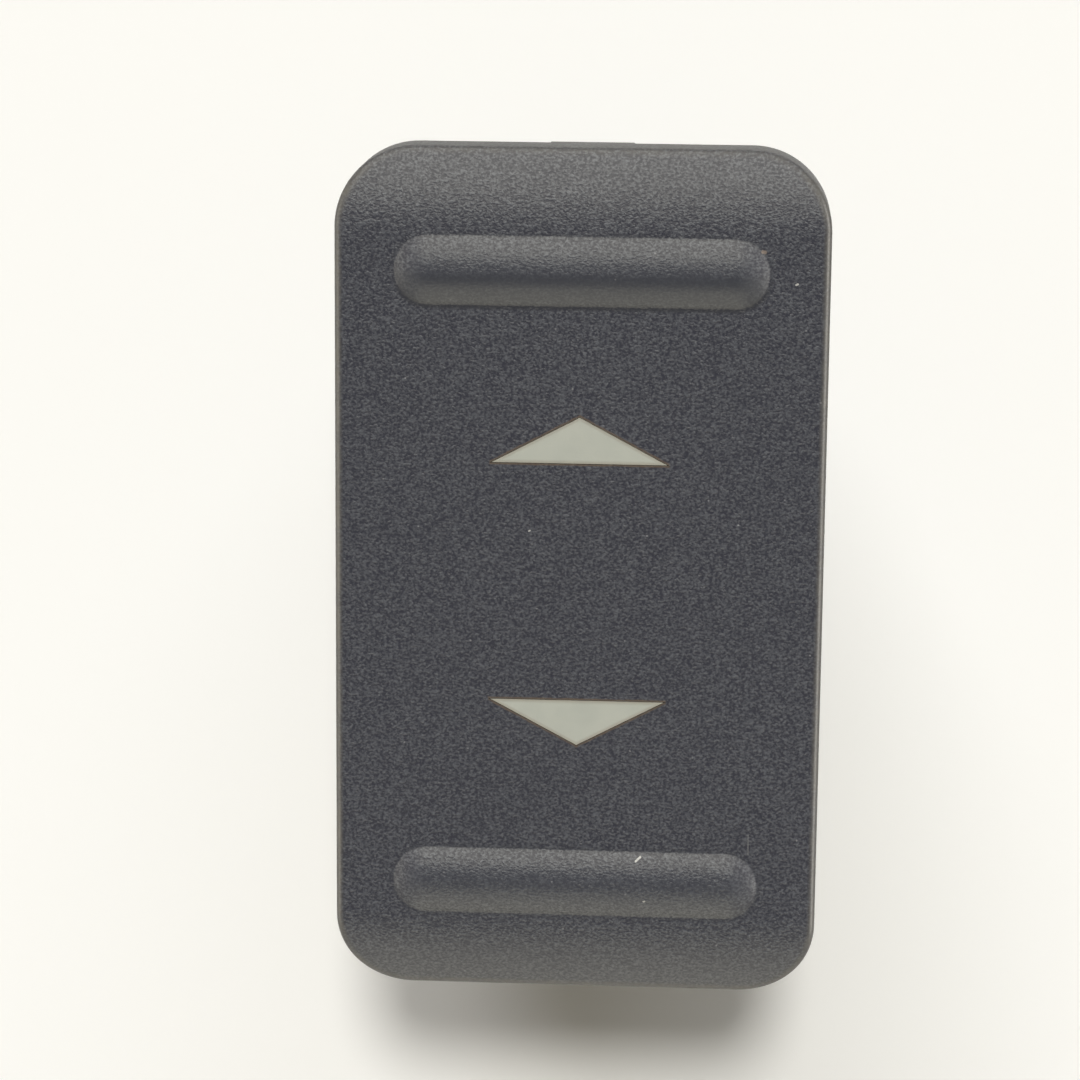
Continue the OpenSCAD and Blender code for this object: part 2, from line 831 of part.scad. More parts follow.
module contact_blade(side) {
    color("#b8743c")
        difference() {
            translate([side * pole_x, 0, 0]) {
                extrude_x(blade_w) blade_profile();
                blade_bead();
            }
            both_ends()
                translate([side * pole_x, contact_y, arm_z - cut])
                    cylinder(blade_t + 2 * cut, r = shank_r + slot_gap);
        }
}

module moving_contacts(side) {
    color("#d2d3d0")
        both_ends()
            translate([side * pole_x, contact_y, moving_z]) {
                intersection() {
                    cylinder(contact_h, r = contact_r);
                    translate([0, 0, dome_r]) sphere(dome_r);
                }
                translate([0, 0, contact_h / 2])
                    cylinder(contact_h / 2 + blade_t + upset_h / 2, r = shank_r);
                translate([0, 0, contact_h + blade_t]) cylinder(upset_h, r = upset_r);
            }
}

module fixed_contacts() {
    color("#d2d3d0")
        both_sides()
            both_ends()
                translate([pole_x, contact_y, 0]) {
                    translate([0, 0, pad_z]) cylinder(contact_h, r = contact_r);
                    translate([0, 0, floor_z]) cylinder(strip_t + contact_h / 2, r = shank_r);
                }
}

// Tab of a terminal, with chamfered end corners
module tab(x, y, w) {
    half = w / 2;
    translate([x, y, 0])
        extrude_x(strip_t)
            polygon([
                [-half, floor_z + strip_t / 2], [half, floor_z + strip_t / 2],
                [half, tab_tip_z + tab_chamfer], [half - tab_chamfer, tab_tip_z],
                [tab_chamfer - half, tab_tip_z], [-half, tab_tip_z + tab_chamfer]
            ]);
}

// Strip that lies on the contact floor under one pole, between two Y values
module contact_strip(side, y) {
    translate([side * pole_x, 0, 0])
        block([-pad_w / 2, pad_w / 2], y, [floor_z, pad_z]);
}

module throw_terminal(side, end) {
    inner_y = min(contact_y - contact_r, outer_tab_y - tab_w / 2);
    outer_y = max(contact_y + contact_r, outer_tab_y + tab_w / 2);
    color("#c9a75a")
        difference() {
            union() {
                contact_strip(side, end > 0 ? [inner_y, outer_y] : [-outer_y, -inner_y]);
                tab(side * tab_x, end * outer_tab_y, tab_w);
            }
            translate([side * pole_x, end * contact_y, floor_z - cut])
                cylinder(strip_t + 2 * cut, r = shank_r + slot_gap);
        }
}

module fulcrum(side) {
    cheek_x = blade_w / 2 + cheek_gap;
    translate([side * pole_x, 0, 0])
        difference() {
            union() {
                block([-pad_w / 2, pad_w / 2], [-fulcrum_half, fulcrum_half], [pad_z - cut, fulcrum_z]);
                both_sides() {
                    block([pad_w / 2 - cut, cheek_x + cheek_t], [-fulcrum_half, fulcrum_half],
                        [floor_z, pad_z]);
                    block([cheek_x, cheek_x + cheek_t], [-fulcrum_half, fulcrum_half],
                        [floor_z, valley_z]);
                }
            }
            translate([0, 0, blade_axis_z]) extrude_x(blade_w + cut) circle(bead_r + bead_play);
        }
}

module common_terminal(side) {
    end = -side;
    reach = inner_tab_y + tab_w / 2;
    color("#c9a75a") {
        contact_strip(side, end > 0 ? [-fulcrum_half, reach] : [-reach, fulcrum_half]);
        fulcrum(side);
        tab(side * tab_x, end * inner_tab_y, tab_w);
    }
}

module lamp_terminal(side) {
    y = side * inner_tab_y;
    half = lamp_wire / 2;
    link = [lamp_pin_x - half, tab_x + strip_t / 2];
    color("#c9a75a") {
        tab(side * tab_x, y, lamp_tab_w);
        block(side > 0 ? link : [-link[1], -link[0]], [y - lamp_tab_w / 2, y + lamp_tab_w / 2],
            [floor_z, floor_z + lamp_wire]);
        translate([side * lamp_pin_x, y, 0])
            block([-half, half], [-half, half], [floor_z, board_top_z + lamp_wire]);
    }
}

// Lighting
module lamp_board() {
    hole = lamp_wire + 2 * slot_gap;
    color("#2f6b43")
        difference() {
            block([-board_w / 2, board_w / 2], [-board_l / 2, board_l / 2], [board_z, board_top_z]);
            for (side = [left, right])
                translate([side * lamp_pin_x, side * inner_tab_y, board_z + board_t / 2])
                    cube([hole, hole, 2 * board_t], center = true);
        }
}

module led(end) {
    color("#e9e7dc")
        translate([0, end * led_y, board_top_z])
            difference() {
                block([-led_w / 2, led_w / 2], [-led_l / 2, led_l / 2], [0, led_h]);
                translate([0, 0, led_h - led_cup_depth])
                    cylinder(led_cup_depth, r1 = led_cup_floor_r, r2 = led_cup_r);
            }
}

module lamp_resistor() {
    half_w = resistor_w / 2;
    half_l = resistor_l / 2;
    color("#33312e")
        translate([0, 0, board_top_z]) {
            block([-half_w, half_w], [-half_l, half_l], [0, resistor_h - resistor_step]);
            both_ends()
                block([-half_w, half_w], [half_l - resistor_end, half_l], [0, resistor_h]);
        }
}

rocker_cap();
arrow_light_guide();
housing();
terminal_base();
plunger(left);  // plunger_left
plunger(right);  // plunger_right
plunger_spring(left);  // plunger_spring_left
plunger_spring(right);  // plunger_spring_right
contact_blade(left);  // contact_blade_left
contact_blade(right);  // contact_blade_right
moving_contacts(left);  // moving_contacts_left
moving_contacts(right);  // moving_contacts_right
fixed_contacts();
common_terminal(left);  // common_terminal_left
common_terminal(right);  // common_terminal_right
throw_terminal(left, up);  // throw_terminal_left_up
throw_terminal(left, down);  // throw_terminal_left_down
throw_terminal(right, up);  // throw_terminal_right_up
throw_terminal(right, down);  // throw_terminal_right_down
lamp_terminal(left);  // lamp_terminal_left
lamp_terminal(right);  // lamp_terminal_right
lamp_board();
led(up);  // led_up
led(down);  // led_down
lamp_resistor();
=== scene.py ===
"""Looks of a clip-in power window switch, with its floor, light and camera."""
import json
import math
from collections import namedtuple

import bmesh
import bpy
import numpy as np
from mathutils import Matrix, Vector


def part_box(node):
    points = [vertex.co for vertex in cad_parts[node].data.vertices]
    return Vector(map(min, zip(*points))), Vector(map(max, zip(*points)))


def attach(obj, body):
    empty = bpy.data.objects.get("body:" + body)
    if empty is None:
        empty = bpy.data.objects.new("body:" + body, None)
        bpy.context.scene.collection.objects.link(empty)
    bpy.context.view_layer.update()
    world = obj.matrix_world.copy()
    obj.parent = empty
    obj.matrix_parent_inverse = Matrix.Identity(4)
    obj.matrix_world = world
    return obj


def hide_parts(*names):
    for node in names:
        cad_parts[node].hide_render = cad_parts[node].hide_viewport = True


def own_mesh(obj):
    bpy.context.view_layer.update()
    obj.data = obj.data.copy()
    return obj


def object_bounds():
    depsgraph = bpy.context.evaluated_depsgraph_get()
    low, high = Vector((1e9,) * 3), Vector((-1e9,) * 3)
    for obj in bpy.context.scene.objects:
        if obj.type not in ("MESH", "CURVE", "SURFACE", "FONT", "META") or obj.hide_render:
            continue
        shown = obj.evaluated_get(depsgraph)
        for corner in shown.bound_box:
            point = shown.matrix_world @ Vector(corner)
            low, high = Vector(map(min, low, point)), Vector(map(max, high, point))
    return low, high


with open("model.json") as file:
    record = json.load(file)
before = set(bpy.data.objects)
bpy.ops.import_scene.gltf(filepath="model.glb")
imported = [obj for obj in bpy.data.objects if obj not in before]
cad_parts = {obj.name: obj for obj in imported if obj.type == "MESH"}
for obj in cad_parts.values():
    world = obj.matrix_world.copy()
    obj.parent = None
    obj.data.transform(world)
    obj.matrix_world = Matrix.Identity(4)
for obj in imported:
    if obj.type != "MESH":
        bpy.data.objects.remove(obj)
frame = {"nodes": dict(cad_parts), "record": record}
cad_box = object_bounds()
nodes = frame["nodes"]

# Shapes are made in millimetres, and finish_mesh brings them to the frame's metres
MM = 0.001

# Rocker cap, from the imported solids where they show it
cap_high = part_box("rocker_cap")[1] / MM
FACE_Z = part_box("arrow_light_guide")[1].z / MM
HALF_W = cap_high.x
HALF_L = cap_high.y
BAR_TOP_Z = cap_high.z
CAP_DEPTH = 4.4
RIM_Z = FACE_Z - CAP_DEPTH
CORNER_R = 4.5
EDGE_R = 0.5
RIM_R = 0.2
RIM_STEPS = 4

# Crowned ends of the face
FLAT_HALF = 19.75
CROWN_DROP = 1.45
CROWN_RUN = HALF_L - FLAT_HALF
CROWN_R = (CROWN_RUN**2 + CROWN_DROP**2) / (2 * CROWN_DROP)

# Finger bars with round ends, and the small fillet where they meet the face
BAR_Y = 17.9
BAR_HALF_L = 10.6
BAR_HALF_W = 1.95
BAR_STRAIGHT = BAR_HALF_L - BAR_HALF_W
BAR_H = BAR_TOP_Z - FACE_Z
BAR_R = (BAR_HALF_W**2 + BAR_H**2) / (2 * BAR_H)
BAR_BLEND = 0.05

# Arrow windows, the gap round the arrows in them, and how far their cutter stands out of the face
ARROW_HALF_W = 5.0
ARROW_H = 2.65
ARROW_Y = 6.95
ARROW_GAP = 0.034
ARROW_SLOPE = math.atan2(ARROW_H, ARROW_HALF_W)
CUTTER_OVER = 1

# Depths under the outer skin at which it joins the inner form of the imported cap
SKIN_OUTER = 0.7
SKIN_INNER = 0.9

# Cores that part the skin from the inner form and run on below the cap
CORE_DEPTH = 12
CORE_LOW_Z = RIM_Z - CORE_DEPTH
CORE_EDGE_R = 0.2

# Mesh of a cap body: spacing at the bars and elsewhere, steps round a corner and over the upper edge
Mesh = namedtuple("Mesh", "fine coarse corner_steps edge_steps")
SKIN_MESH = Mesh(fine=0.05, coarse=0.4, corner_steps=24, edge_steps=9)
CORE_MESH = Mesh(fine=0.6, coarse=0.8, corner_steps=8, edge_steps=2)

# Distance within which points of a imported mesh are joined
WELD = 1e-5

# Row of points across the face: its y, its half width, the fillet's width there and the way outwards
Row = namedtuple("Row", "y half_w fillet_w normal")
FILLET_ROUNDS = 4

# Plunger springs
WIRE_R = 0.2
SPRING_TURNS = 8
STEPS_PER_TURN = 36
WIRE_SIDES = 10

# Cup of the lamps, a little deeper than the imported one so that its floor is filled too
LED_CUP_R = 1.2
LED_CUP_DEPTH = 1.0

# Marks on the face, each as its two ends and its half width: pale lint, a brown speck and a scratch
LINT = [
    ((3.55, -16.42), (3.80, -16.20), 0.06),
    ((12.05, 17.38), (12.13, 17.42), 0.06),
    ((4.04, -18.79), (4.10, -18.77), 0.05),
    ((-2.85, 2.98), (-2.78, 3.02), 0.04),
]
SPECK = ((10.15, 19.21), (10.28, 19.19), 0.10)
SCRATCH = ((10.03, -14.74), (10.05, -15.95), 0.03)

# Tones of the cap, as linear colours
GRAIN_HOLLOWS = (0.001, 0.001, 0.007)
GRAIN_TOPS = ((0.064, 0.067, 0.077), (0.077, 0.080, 0.092))
BAR_CREST = (0.026, 0.028, 0.036)
# Painted shade on the upper bar's lower slope, which faces away from the light
SLOPE_SHADE = (0.010, 0.011, 0.016)
# Painted shade in the crease at the foot of the bars
FOOT_SHADE = (0.001, 0.001, 0.004)
ARROW_RIM = (0.070, 0.049, 0.033)
BROWN_SPECK = (0.15, 0.118, 0.10)
SCRATCHED = (0.2, 0.2, 0.2)
PALE_LINT = (0.38, 0.375, 0.36)
DUST = (0.30, 0.30, 0.31)
SIDE_WALL = (0.031, 0.030, 0.027)
# Lighter upper edge: partly wear, partly a painted highlight
WORN_AND_HIGHLIT_EDGE = (0.074, 0.067, 0.056)

# Distances inside the cap's outline between which its grain sets in
GRAIN_START = (0.3, 0.6)

# Studio, in metres
FLOOR_HALF = 4.0
CARD_DISTANCE = 0.6


def in_mm(box):
    """Low and high corner of a box of the frame, in millimetres."""
    return [corner / MM for corner in box]


def crown_over(y):
    """How far y lies past the flat middle of the face."""
    return np.clip(np.abs(y) - FLAT_HALF, 0, None)


def crown_z(y):
    """Height of the face."""
    return FACE_Z - CROWN_R + np.sqrt(CROWN_R**2 - crown_over(y) ** 2)


def crown_fall(y):
    """Slope of the face towards its nearer end."""
    over = crown_over(y)
    return over / np.sqrt(CROWN_R**2 - over**2)


def bar_z(x, y):
    """Height of a finger bar, an arc over the distance to the bar's middle line."""
    along = np.clip(np.abs(x) - BAR_STRAIGHT, 0, None)
    reach = np.minimum(np.hypot(along, np.abs(y) - BAR_Y), BAR_R)
    return BAR_TOP_Z - BAR_R + np.sqrt(BAR_R**2 - reach**2)


def smooth_max(a, b, width):
    """The larger of two heights, with a fillet where they meet."""
    share = np.clip(0.5 + 0.5 * (b - a) / width, 0, 1)
    return a * (1 - share) + b * share + width * share * (1 - share)


def spaced(*spans):
    """Values from zero up, as (end, step) spans with their own spacing."""
    values, start = [0.0], 0.0
    for end, step in spans:
        count = max(1, round((end - start) / step))
        values += [start + (end - start) * (k + 1) / count for k in range(count)]
        start = end
    return np.array(values)


def corner_rows(half_w, half_l, corner_r, edge_r, steps):
    """Rows of the face round a corner of its outline."""
    centre = np.array([half_w - corner_r, half_l - corner_r])
    rows = []
    for angle in np.linspace(0, math.pi / 2, steps + 1):
        normal = np.array([math.cos(angle), math.sin(angle)])
        fillet_w = edge_r
        # The fillet is narrower where the face falls, so its width and the place are found in turns
        for _ in range(FILLET_ROUNDS):
            point = centre + (corner_r - fillet_w) * normal
            fillet_w = edge_r * (1 - math.sin(math.atan(crown_fall(point[1]) * normal[1])))
        rows.append(Row(point[1], point[0], fillet_w, normal))
    return rows


def face_rows(half_w, half_l, corner_r, edge_r, mesh):
    """Rows of the face from end to end."""
    bar_low = BAR_Y - BAR_HALF_W - 2 * BAR_BLEND
    straight = spaced((bar_low, mesh.coarse), (half_l - corner_r, mesh.fine))[:-1]
    side = np.array([1.0, 0.0])
    upper = [Row(y, half_w - edge_r, edge_r, side) for y in straight]
    upper += corner_rows(half_w, half_l, corner_r, edge_r, mesh.corner_steps)
    flip = np.array([1.0, -1.0])
    lower = [Row(-row.y, row.half_w, row.fillet_w, row.normal * flip) for row in upper[:0:-1]]
    return lower + upper


def face_columns(half_w, mesh):
    """Columns of the face from side to side, as shares of its half width."""
    bar_middle = (BAR_STRAIGHT - 2 * BAR_BLEND, mesh.coarse)
    bar_end = (BAR_HALF_L + 2 * BAR_BLEND, mesh.fine)
    right = spaced(bar_middle, bar_end, (half_w, mesh.coarse))
    return np.concatenate([-right[:0:-1], right]) / half_w


def face_points(rows, columns, drop, bars):
    """Points of the face, row by row."""
    y = np.repeat(np.array([row.y for row in rows])[:, None], len(columns), axis=1)
    x = np.array([row.half_w for row in rows])[:, None] * columns[None, :]
    z = crown_z(y) - drop
    if bars:
        z = smooth_max(z, bar_z(x, y), BAR_BLEND)
    return np.stack([x, y, z], axis=-1).reshape(-1, 3)


def round_the_face(last_row, last_column):
    """Row and column of each outer point of the face, once round it."""
    loop = [(0, i) for i in range(last_column + 1)]
    loop += [(j, last_column) for j in range(1, last_row + 1)]
    loop += [(last_row, i) for i in range(last_column - 1, -1, -1)]
    loop += [(j, 0) for j in range(last_row - 1, 0, -1)]
    return loop


def wall_rings(start, normal, fillet_w, low, edge_r, edge_steps):
    """Rings of points down from the face's outer points: upper edge, wall and lower rim."""
    outer = start[:, :2] + normal * fillet_w[:, None]
    fall = np.arctan(crown_fall(start[:, 1]) * np.abs(normal[:, 1]))
    centre_z = start[:, 2] - edge_r * np.cos(fall)
    rings = []
    for k in range(1, edge_steps + 1):
        turn = fall + (math.pi / 2 - fall) * k / edge_steps
        flat = outer - normal * (edge_r * (1 - np.sin(turn)))[:, None]
        rings.append(np.column_stack([flat, centre_z + edge_r * np.cos(turn)]))
    rim_r = min(RIM_R, edge_r)
    for turn in np.linspace(0, math.pi / 2, RIM_STEPS + 1):
        flat = outer - normal * (rim_r * (1 - math.cos(turn)))
        height = np.full(len(start), low + rim_r * (1 - math.sin(turn)))
        rings.append(np.column_stack([flat, height]))
    return rings


def cap_body(inset, drop, low, edge_r, bars, mesh):
    """Closed solid of the cap's outline, moved in by inset and down by drop, as points and faces."""
    half_w, half_l, corner_r = HALF_W - inset, HALF_L - inset, CORNER_R - inset
    rows = face_rows(half_w, half_l, corner_r, edge_r, mesh)
    columns = face_columns(half_w - edge_r, mesh)
    face = face_points(rows, columns, drop, bars)
    at = np.arange(len(face)).reshape(len(rows), len(columns))
    corners = (at[:-1, :-1], at[:-1, 1:], at[1:, 1:], at[1:, :-1])
    faces = list(zip(*(corner.ravel() for corner in corners)))

    loop = round_the_face(len(rows) - 1, len(columns) - 1)
    ring = np.array([at[j, i] for j, i in loop])
    mirror = np.array([-1, 1])
    normal = np.array([rows[j].normal * (1 if i else mirror) for j, i in loop])
    fillet_w = np.array([rows[j].fillet_w for j, _ in loop])
    rings = wall_rings(face[ring], normal, fillet_w, low, edge_r, mesh.edge_steps)
    for k in range(len(rings)):
        below = len(face) + k * len(loop) + np.arange(len(loop))
        faces += zip(ring, below, np.roll(below, -1), np.roll(ring, -1))
        ring = below
    faces.append(ring[::-1])
    return np.concatenate([face, *rings]), [tuple(int(v) for v in f) for f in faces]


def add_to_scene(name, data):
    """Object with a mesh, a lamp or a camera."""
    made = bpy.data.objects.new(name, data)
    bpy.context.scene.collection.objects.link(made)
    return made


def new_object(name, points, faces):
    """Mesh object of points and faces."""
    mesh = bpy.data.meshes.new(name)
    mesh.from_pydata([tuple(p) for p in points], [], faces)
    mesh.validate()
    return add_to_scene(name, mesh)


def copy_of_node(name):
    """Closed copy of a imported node's mesh, in millimetres."""
    made = add_to_scene(name + "_copy", nodes[name].data.copy())
    mesh = bmesh.new()
    mesh.from_mesh(made.data)
    bmesh.ops.scale(mesh, vec=Vector((1, 1, 1)) / MM, verts=mesh.verts)
    bmesh.ops.remove_doubles(mesh, verts=mesh.verts, dist=WELD)
    mesh.to_mesh(made.data)
    mesh.free()
    return made


def combine(target, tool, operation):
    """Boolean of two closed meshes. The tool is used up."""
    change = target.modifiers.new("combine", "BOOLEAN")
    change.operation = operation
    change.object = tool
    change.solver = "MANIFOLD"
    apply_modifiers(target)
    remove(tool)


def apply_modifiers(target):
    """Puts the mesh that the modifiers make in the place of the first one."""
    depsgraph = bpy.context.evaluated_depsgraph_get()
    old = target.data
    target.data = bpy.data.meshes.new_from_object(target.evaluated_get(depsgraph))
    target.modifiers.clear()
    bpy.data.meshes.remove(old)


def remove(made):
    """Deletes an object and its mesh."""
    mesh = made.data
    bpy.data.objects.remove(made)
    bpy.data.meshes.remove(mesh)


def finish_mesh(made, material, sharp_degrees):
    """Takes a shape from millimetres to metres, shades it smooth between sharp edges and dresses it."""
    made.data.transform(Matrix.Scale(MM, 4))
    made.data.shade_smooth()
    made.data.set_sharp_from_angle(angle=math.radians(sharp_degrees))
    made.data.materials.clear()
    made.data.materials.append(material)


def cap_core(depth):
    """Solid that lies a given depth inside the cap's outer skin."""
    core = cap_body(inset=depth, drop=depth, low=CORE_LOW_Z, edge_r=CORE_EDGE_R,
                    bars=False, mesh=CORE_MESH)
    return new_object("core", *core)


def arrow_cutter(end):
    """Prism of an arrow window, through the cap's face."""
    half = ARROW_HALF_W + ARROW_GAP / math.tan(ARROW_SLOPE / 2)
    base = ARROW_Y - ARROW_GAP
    tip = ARROW_Y + ARROW_H + ARROW_GAP / math.cos(ARROW_SLOPE)
    outline = [(-half, end * base), (half, end * base), (0, end * tip)]
    if end < 0:
        outline.reverse()
    points = [(x, y, z) for z in (RIM_Z, FACE_Z + CUTTER_OVER) for x, y in outline]
    faces = [(2, 1, 0), (3, 4, 5), (0, 1, 4, 3), (1, 2, 5, 4), (2, 0, 3, 5)]
    return new_object("arrow_cutter", points, faces)


def make_cap(material):
    """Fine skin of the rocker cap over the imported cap's own underside."""
    outside = cap_body(inset=0, drop=0, low=RIM_Z, edge_r=EDGE_R, bars=True, mesh=SKIN_MESH)
    skin = new_object("rocker_cap_grained", *outside)
    combine(skin, cap_core(SKIN_INNER), "DIFFERENCE")
    inside = copy_of_node("rocker_cap")
    combine(inside, cap_core(SKIN_OUTER), "INTERSECT")
    combine(skin, inside, "UNION")
    for end in (-1, 1):
        combine(skin, arrow_cutter(end), "DIFFERENCE")
    finish_mesh(skin, material, sharp_degrees=32)
    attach(skin, "rocker")
    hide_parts("rocker_cap")


def coil(low, high):
    """Round wire helix that fills a box, as points and faces."""
    middle = (low + high) / 2
    coil_r = (high.x - low.x) / 2 - WIRE_R
    steps = SPRING_TURNS * STEPS_PER_TURN
    points = []
    for k in range(steps + 1):
        turn = 2 * math.pi * k / STEPS_PER_TURN
        out = Vector((math.cos(turn), math.sin(turn), 0))
        rise = low.z + WIRE_R + (high.z - low.z - 2 * WIRE_R) * k / steps
        centre = Vector((middle.x, middle.y, rise)) + coil_r * out
        for i in range(WIRE_SIDES):
            lean = 2 * math.pi * i / WIRE_SIDES
            points.append(centre + WIRE_R * (math.cos(lean) * out + Vector((0, 0, math.sin(lean)))))
    faces = [tuple(range(WIRE_SIDES))]
    for k in range(steps):
        here, after = k * WIRE_SIDES, (k + 1) * WIRE_SIDES
        for i in range(WIRE_SIDES):
            ahead = (i + 1) % WIRE_SIDES
            faces.append((here + i, after + i, after + ahead, here + ahead))
    faces.append(tuple(steps * WIRE_SIDES + i for i in reversed(range(WIRE_SIDES))))
    return points, faces


def make_spring(side, material):
    """Round wire spring in the place of a packed one."""
    node, joint = f"plunger_spring_{side}", f"plunger_{side}_slide"
    low, high = in_mm(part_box(node))
    made = new_object(f"plunger_coil_{side}", *coil(low, high))
    finish_mesh(made, material, sharp_degrees=60)
    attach(made, "rocker")
    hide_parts(node)
    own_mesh(made)


class Graph:
    """Short way to write a material's nodes. A value is a number, a tuple or another node's output."""

    def __init__(self, name):
        self.material = bpy.data.materials.new(name)
        self.material.use_nodes = True
        self.tree = self.material.node_tree
        self.shader = self.tree.nodes["Principled BSDF"]
        self.place = self.add("ShaderNodeTexCoord").outputs["Object"]

    def set(self, socket, value):
        """Links another node's output to a socket, or sets its constant."""
        if isinstance(value, bpy.types.NodeSocket):
            self.tree.links.new(value, socket)
        else:
            socket.default_value = value

    def add(self, kind, inputs=(), **settings):
        """New node with its inputs and settings."""
        node = self.tree.nodes.new(kind)
        for key, value in settings.items():
            setattr(node, key, value)
        for key, value in dict(inputs).items():
            self.set(node.inputs[key], value)
        return node

    def shade(self, inputs):
        """Sets inputs of the shader itself."""
        for key, value in inputs.items():
            self.set(self.shader.inputs[key], value)

    def vector(self, operation, *values):
        node = self.add("ShaderNodeVectorMath", operation=operation)
        for socket, value in zip(node.inputs, values):
            self.set(socket, value)
        gives_number = operation in ("DOT_PRODUCT", "LENGTH", "DISTANCE")
        return node.outputs["Value" if gives_number else "Vector"]

    def calc(self, operation, *values):
        node = self.add("ShaderNodeMath", operation=operation)
        for socket, value in zip(node.inputs, values):
            self.set(socket, value)
        return node.outputs[0]

    def times(self, a, b):
        return self.calc("MULTIPLY", a, b)

    def apart(self, a, b):
        """How far two values lie apart."""
        return self.calc("ABSOLUTE", self.calc("SUBTRACT", a, b))

    def diagonal(self, a, b):
        """Length of a line that runs a one way and b across it."""
        return self.calc("SQRT", self.calc("MULTIPLY_ADD", a, a, self.times(b, b)))

    def wave(self, value, rate):
        return self.calc("SINE", self.times(value, rate))

    def ramp(self, value, low, high, out_low=0.0, out_high=1.0):
        """Smooth step between two values."""
        node = self.add("ShaderNodeMapRange", {
            "Value": value, "From Min": low, "From Max": high,
            "To Min": out_low, "To Max": out_high,
        }, interpolation_type="SMOOTHSTEP")
        return node.outputs["Result"]

    def fade(self, value, low, high):
        """Share that falls from 1 at low to 0 at high."""
        return self.ramp(value, low, high, 1, 0)

    def spread(self, noise, out_low, out_high):
        """Brings a noise from the range that most of it lies in to another range."""
        return self.ramp(noise, 0.3, 0.7, out_low, out_high)

    def mix(self, share, first, second):
        """Colour between two others."""
        node = self.add("ShaderNodeMix", data_type="RGBA")
        self.set(node.inputs["Factor"], share)
        for socket, value in zip([s for s in node.inputs if s.type == "RGBA"], (first, second)):
            self.set(socket, value if isinstance(value, bpy.types.NodeSocket) else (*value, 1))
        return next(s for s in node.outputs if s.type == "RGBA")

    def noise(self, per_mm, detail=2.0, distortion=0.0, place=None):
        node = self.add("ShaderNodeTexNoise", {
            "Vector": place or self.place, "Scale": per_mm / MM, "Detail": detail,
            "Distortion": distortion,
        })
        return node.outputs["Fac"]

    def bump(self, height, depth_mm, under=None, strength=1.0):
        """Normal with a relief, over another normal if one is given."""
        inputs = {"Height": height, "Distance": depth_mm * MM, "Strength": strength}
        if under is not None:
            inputs["Normal"] = under
        return self.add("ShaderNodeBump", inputs).outputs["Normal"]

    def soft_edges(self, radius_mm):
        """Normal that rounds the edges, and a mask of where it turns away from the plain one."""
        rounded = self.add("ShaderNodeBevel", {"Radius": radius_mm * MM}, samples=6).outputs["Normal"]
        plain = self.add("ShaderNodeNewGeometry").outputs["Normal"]
        return rounded, self.ramp(self.vector("DOT_PRODUCT", rounded, plain), 0.99, 0.8)

    def stretched(self, x, y, z):
        """Place with each axis drawn out by a factor, for grain and drawn lines."""
        return self.vector("DIVIDE", self.place, (x, y, z))

    def xyz(self, vector):
        return self.add("ShaderNodeSeparateXYZ", {"Vector": vector}).outputs

    def xyz_mm(self):
        """X, Y and Z of the place in millimetres."""
        return self.xyz(self.vector("MULTIPLY", self.place, (1 / MM,) * 3))

    def flat_mm(self):
        """Place in millimetres, seen from the front."""
        return self.vector("MULTIPLY", self.place, (1 / MM, 1 / MM, 0))

    def upright(self):
        """Mask of the walls that stand upright in the piece's own frame."""
        facing = self.add("ShaderNodeTexCoord").outputs["Normal"]
        return self.fade(self.xyz(facing)["Z"], 0.05, 0.3)

    def edge_inset(self):
        """Distance inside the cap's outline, seen from the front, in millimetres."""
        low = (HALF_W - CORNER_R, HALF_L - CORNER_R, 0)
        past = self.vector("SUBTRACT", self.vector("ABSOLUTE", self.flat_mm()), low)
        corner = self.vector("LENGTH", self.vector("MAXIMUM", past, (0, 0, 0)))
        x, y, _ = self.xyz(past)
        inside = self.calc("MINIMUM", self.calc("MAXIMUM", x, y), 0)
        return self.calc("SUBTRACT", CORNER_R, self.calc("ADD", corner, inside))

    def bar_reach(self):
        """Distance outside the nearer finger bar's outline, in millimetres."""
        x, y, _ = self.xyz_mm()
        along = self.calc("SUBTRACT", self.calc("ABSOLUTE", x), BAR_STRAIGHT)
        along = self.calc("MAXIMUM", along, 0)
        across = self.calc("SUBTRACT", self.calc("ABSOLUTE", y), BAR_Y)
        return self.calc("SUBTRACT", self.diagonal(across, along), BAR_HALF_W)

    def bar_ends(self):
        """Mask of the round ends of the finger bars."""
        x = self.calc("ABSOLUTE", self.xyz_mm()["X"])
        end = self.ramp(x, BAR_STRAIGHT, BAR_HALF_L - BAR_HALF_W / 2)
        return self.times(end, self.fade(self.bar_reach(), -0.1, 0.1))

    def arrow_reach(self):
        """Distance outside the nearer arrow's outline, in millimetres."""
        x, y, _ = self.xyz_mm()
        x, y = self.calc("ABSOLUTE", x), self.calc("ABSOLUTE", y)
        past_base = self.calc("SUBTRACT", ARROW_Y, y)
        tip = (ARROW_Y + ARROW_H) * math.cos(ARROW_SLOPE)
        across = self.calc("MULTIPLY_ADD", x, math.sin(ARROW_SLOPE), -tip)
        past_slope = self.calc("MULTIPLY_ADD", y, math.cos(ARROW_SLOPE), across)
        past_ends = self.calc("SUBTRACT", x, ARROW_HALF_W)
        return self.calc("MAXIMUM", self.calc("MAXIMUM", past_base, past_slope), past_ends)

    def streak(self, start, end, half_width):
        """Mask of a short mark on the face, round the line from start to end."""
        run = (end[0] - start[0], end[1] - start[1], 0)
        run_squared = run[0] ** 2 + run[1] ** 2
        away = self.vector("SUBTRACT", self.flat_mm(), (*start, 0))
        along = self.vector("DOT_PRODUCT", away, tuple(r / run_squared for r in run))
        along = self.calc("MINIMUM", self.calc("MAXIMUM", along, 0), 1)
        reach = self.vector("DISTANCE", away, self.vector("MULTIPLY", run, along))
        return self.fade(reach, 0.6 * half_width, 1.3 * half_width)

